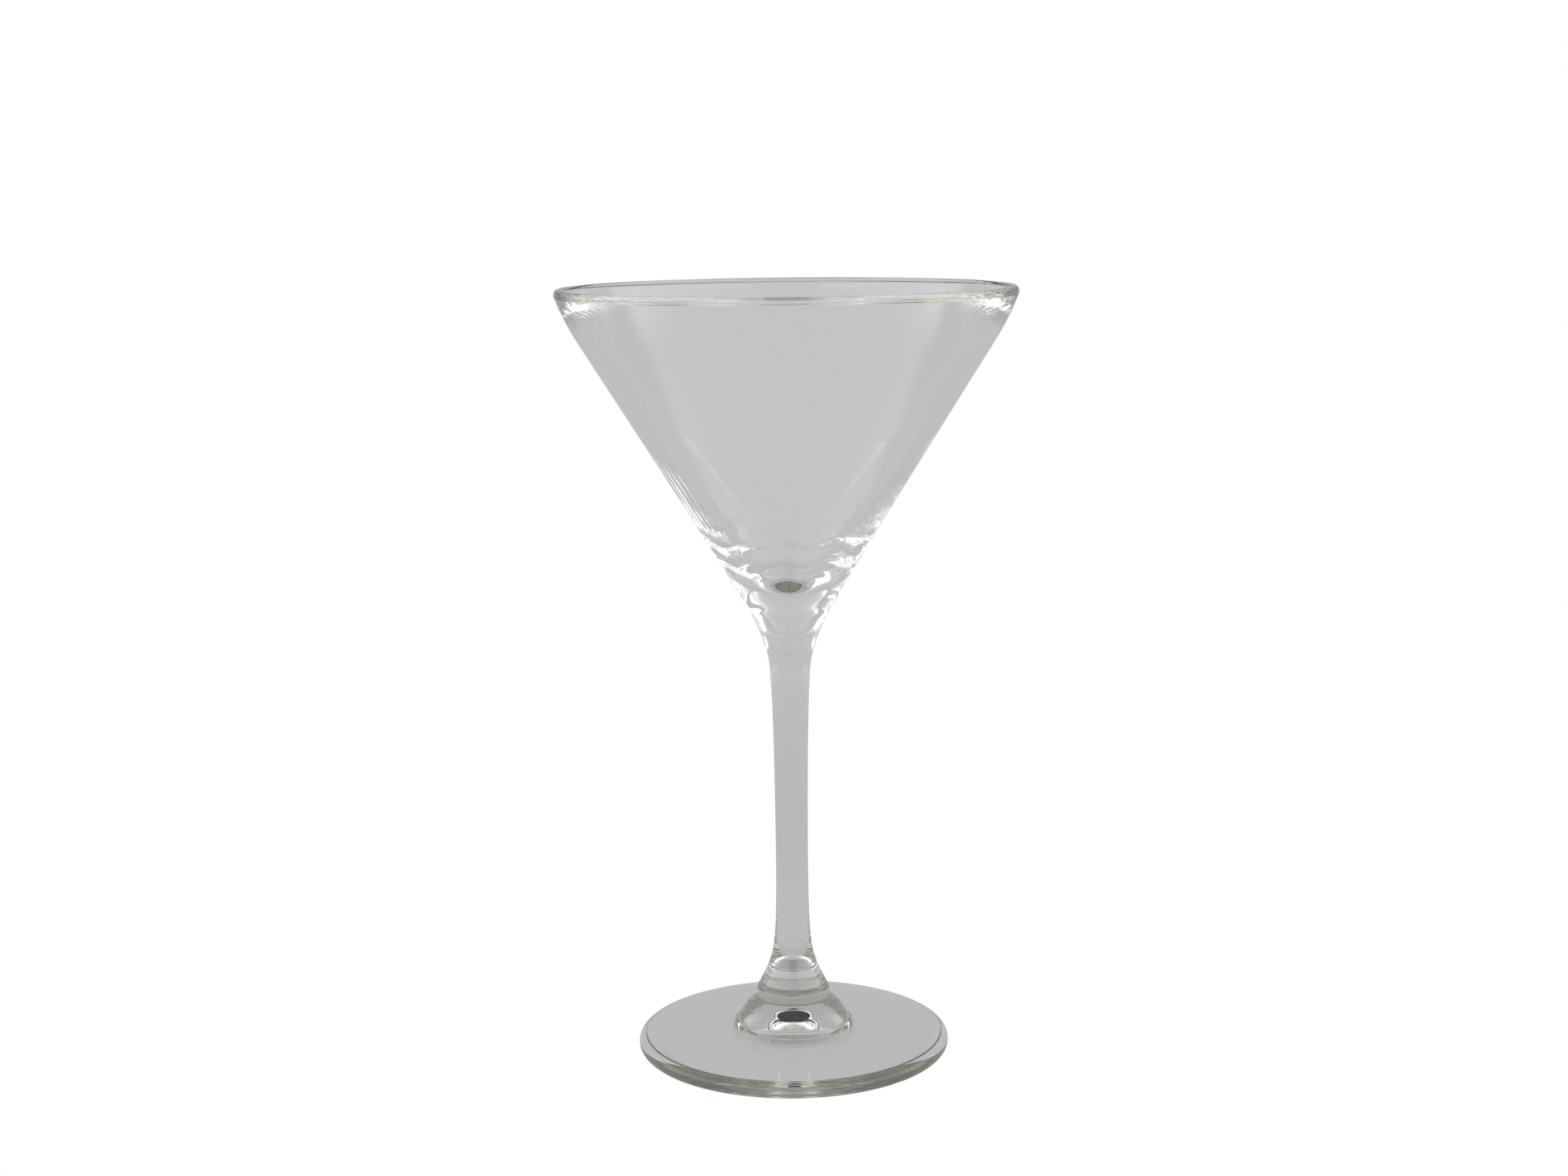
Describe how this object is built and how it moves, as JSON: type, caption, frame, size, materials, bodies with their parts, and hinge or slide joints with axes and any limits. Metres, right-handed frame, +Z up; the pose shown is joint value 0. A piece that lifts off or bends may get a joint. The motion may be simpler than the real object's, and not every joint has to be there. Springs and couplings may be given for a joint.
{
  "type": "martini glass",
  "caption": "Stemmed cocktail glass of clear glass: thick conical bowl with a rounded rim, slender flared stem and round domed foot.",
  "frame": {"origin": "centre of the foot, on the table surface it rests on", "axes": "+Z up along the axis of the glass, towards the rim; the glass is the same all round, so +X and +Y are free"},
  "size_m": [0.1102, 0.1102, 0.188],
  "materials": {
    "bowl_glass": "fire-polished clear soda-lime glass",
    "stem_glass": "fire-polished clear soda-lime glass",
    "foot_glass": "pressed clear soda-lime glass, finely worn on the resting ring"
  },
  "bodies": {
    "root": {"bowl": "bowl_glass", "stem": "stem_glass", "foot": "foot_glass"}
  },
  "joints": []
}
